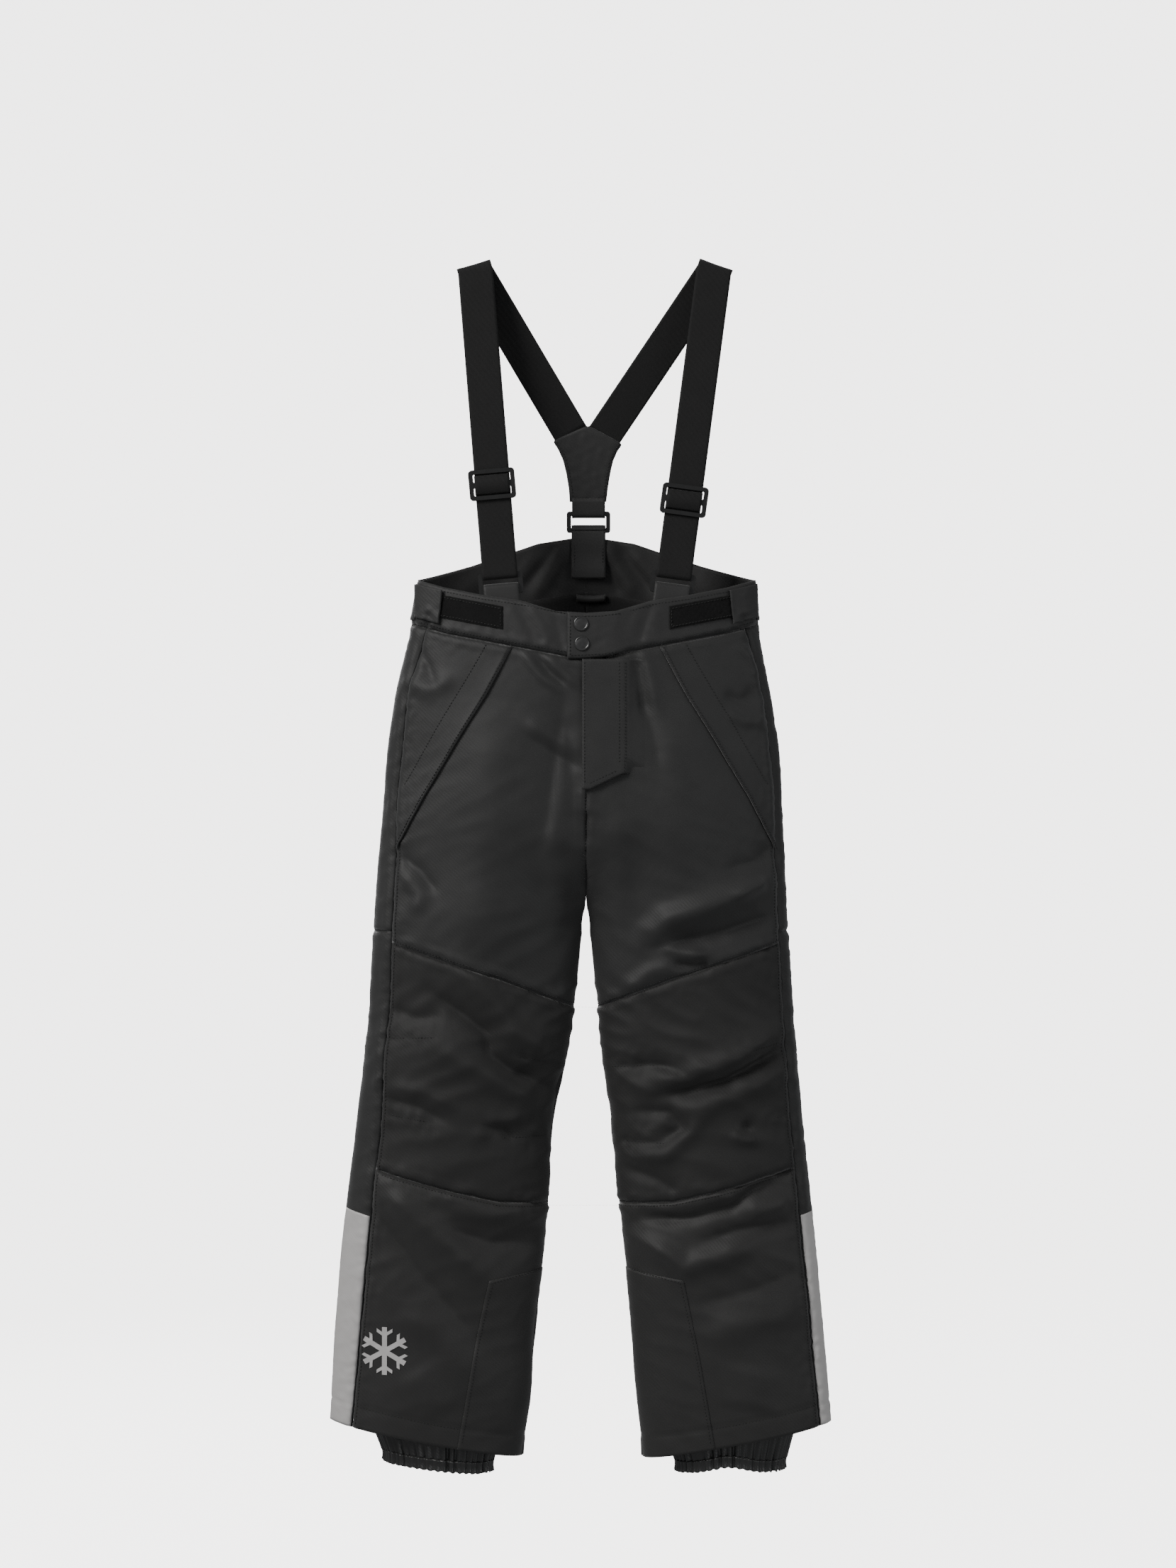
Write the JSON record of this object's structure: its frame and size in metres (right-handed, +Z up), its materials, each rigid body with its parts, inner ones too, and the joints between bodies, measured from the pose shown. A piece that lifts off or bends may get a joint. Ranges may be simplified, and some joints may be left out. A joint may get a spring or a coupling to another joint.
{
  "type": "ski pants",
  "caption": "Children's insulated ski trousers with elastic braces, snow gaiters, snap waist, hook-and-loop waist adjusters and reflective hem strips.",
  "frame": {"origin": "between the tops of the two shoulder straps, where the braces hang on a hanger or the shoulders", "axes": "+Z up along the hanging trousers, +X to the wearer's left, the front faces -Y"},
  "size_m": [0.5123, 0.1275, 1.236],
  "materials": {
    "shell_cloth": "matt coated twill, charcoal black",
    "lining_fleece": "brushed fleece, black",
    "elastic_webbing": "twill woven elastic, black",
    "buckle_plastic": "moulded nylon, black, semi gloss",
    "reflective_film": "silver grey reflective film",
    "loop_pile": "loop side of hook and loop tape",
    "hook_tape": "hook side of hook and loop tape",
    "gaiter_cloth": "thin shiny lining cloth",
    "gaiter_elastic": "gathered elastic edge",
    "snap_metal": "black painted snap",
    "zip_metal": "black painted zip slider",
    "zip_coil": "nylon coil",
    "zip_tape": "woven zip tape"
  },
  "bodies": {
    "garment": {"adjuster_bases": "shell_cloth", "back_facing": "shell_cloth", "back_leg_panel_left": "shell_cloth", "back_leg_panel_right": "shell_cloth", "fly_underlap": "shell_cloth", "front_thigh_left": "shell_cloth", "front_thigh_right": "shell_cloth", "gaiter_elastics": "gaiter_elastic", "hanger_loop": "shell_cloth", "high_back": "shell_cloth", "kick_patches": "shell_cloth", "knee_panel_left": "shell_cloth", "knee_panel_right": "shell_cloth", "leg_emblem": "reflective_film", "leg_lining_left": "lining_fleece", "leg_lining_right": "lining_fleece", "loop_patches": "loop_pile", "pocket_bags": "lining_fleece", "pocket_flap_left": "shell_cloth", "pocket_flap_right": "shell_cloth", "rear_tab_base": "shell_cloth", "reflective_strips": "reflective_film", "seat_panel_left": "shell_cloth", "seat_panel_right": "shell_cloth", "shin_panel_left": "shell_cloth", "shin_panel_right": "shell_cloth", "shoulder_strap_left": "elastic_webbing", "shoulder_strap_right": "elastic_webbing", "side_panel_lower_left": "shell_cloth", "side_panel_lower_right": "shell_cloth", "side_panel_upper_left": "shell_cloth", "side_panel_upper_right": "shell_cloth", "snap_studs": "snap_metal", "snow_gaiter_left": "gaiter_cloth", "snow_gaiter_right": "gaiter_cloth", "strap_return_left": "elastic_webbing", "strap_return_right": "elastic_webbing", "suspender_yoke": "shell_cloth", "waist_loops": "shell_cloth", "waistband_left": "shell_cloth", "waistband_right": "shell_cloth", "zip_coil": "zip_coil", "zip_tapes": "zip_tape"},
    "waist_flap": {"waist_flap": "shell_cloth", "snap_caps": "snap_metal"},
    "fly_placket": {"fly_placket": "shell_cloth"},
    "zip_slider": {"zip_slider": "zip_metal"},
    "zip_pull": {"zip_pull": "zip_metal"},
    "adjuster_tab_right": {"adjuster_tab_right": "shell_cloth", "hook_patch_right": "hook_tape"},
    "adjuster_tab_left": {"adjuster_tab_left": "shell_cloth", "hook_patch_left": "hook_tape"},
    "rear_tab": {"rear_tab": "shell_cloth"},
    "rear_ring": {"rear_ring": "buckle_plastic"},
    "front_ring_right": {"front_ring_right": "buckle_plastic"},
    "front_ring_left": {"front_ring_left": "buckle_plastic"},
    "strap_slider_right": {"strap_slider_right": "buckle_plastic", "strap_bight_right": "elastic_webbing"},
    "strap_slider_left": {"strap_slider_left": "buckle_plastic", "strap_bight_left": "elastic_webbing"}
  },
  "joints": [
    {"name": "waist_flap_hinge", "type": "hinge", "parent": "garment", "child": "waist_flap", "pos_m": [0.0355, -0.05373, -0.4089], "axis": [0, 0.0647, 0.9979], "range_deg": [0, 150]},
    {"name": "fly_placket_hinge", "type": "hinge", "parent": "garment", "child": "fly_placket", "pos_m": [0.0378, -0.05627, -0.40873], "axis": [0, 0.0647, 0.9979], "range_deg": [0, 150]},
    {"name": "zip_slide", "type": "slide", "parent": "garment", "child": "zip_slider", "axis": [0, -0.0647, -0.9979], "range_m": [0, 0.1]},
    {"name": "zip_pull_swing", "type": "hinge", "parent": "zip_slider", "child": "zip_pull", "pos_m": [0.014, -0.05485, -0.42236], "axis": [0, -0.9979, 0.0647], "range_deg": [-15, 15]},
    {"name": "adjuster_tab_right_peel", "type": "hinge", "parent": "garment", "child": "adjuster_tab_right", "pos_m": [-0.172, -0.0135, -0.35], "axis": [0, 0, -1], "range_deg": [0, 120]},
    {"name": "adjuster_tab_left_peel", "type": "hinge", "parent": "garment", "child": "adjuster_tab_left", "pos_m": [0.172, -0.0135, -0.35], "axis": [0, 0, 1], "range_deg": [0, 120]},
    {"name": "rear_tab_peel", "type": "hinge", "parent": "garment", "child": "rear_tab", "pos_m": [0.0025, 0.0359, -0.274], "axis": [-1, 0, 0], "range_deg": [0, 150]},
    {"name": "rear_ring_swing", "type": "hinge", "parent": "garment", "child": "rear_ring", "pos_m": [0.0025, 0.04023, -0.25607], "axis": [1, 0, 0], "range_deg": [-4, 4]},
    {"name": "front_ring_right_swing", "type": "hinge", "parent": "garment", "child": "front_ring_right", "pos_m": [-0.087, -0.031, -0.3235], "axis": [0.9962, 0.0075, 0.0869], "range_deg": [-2.5, 6]},
    {"name": "front_ring_left_swing", "type": "hinge", "parent": "garment", "child": "front_ring_left", "pos_m": [0.089, -0.031, -0.3235], "axis": [0.9907, -0.0117, -0.1358], "range_deg": [-2.5, 6]},
    {"name": "strap_slider_right_slide", "type": "slide", "parent": "garment", "child": "strap_slider_right", "axis": [-0.0873, 0.0857, 0.9925], "range_m": [-0.07, 0.15], "deforming": ["strap_return_right"]},
    {"name": "strap_slider_left_slide", "type": "slide", "parent": "garment", "child": "strap_slider_left", "axis": [0.1363, 0.0852, 0.987], "range_m": [-0.054, 0.15], "deforming": ["strap_return_left"]}
  ]
}
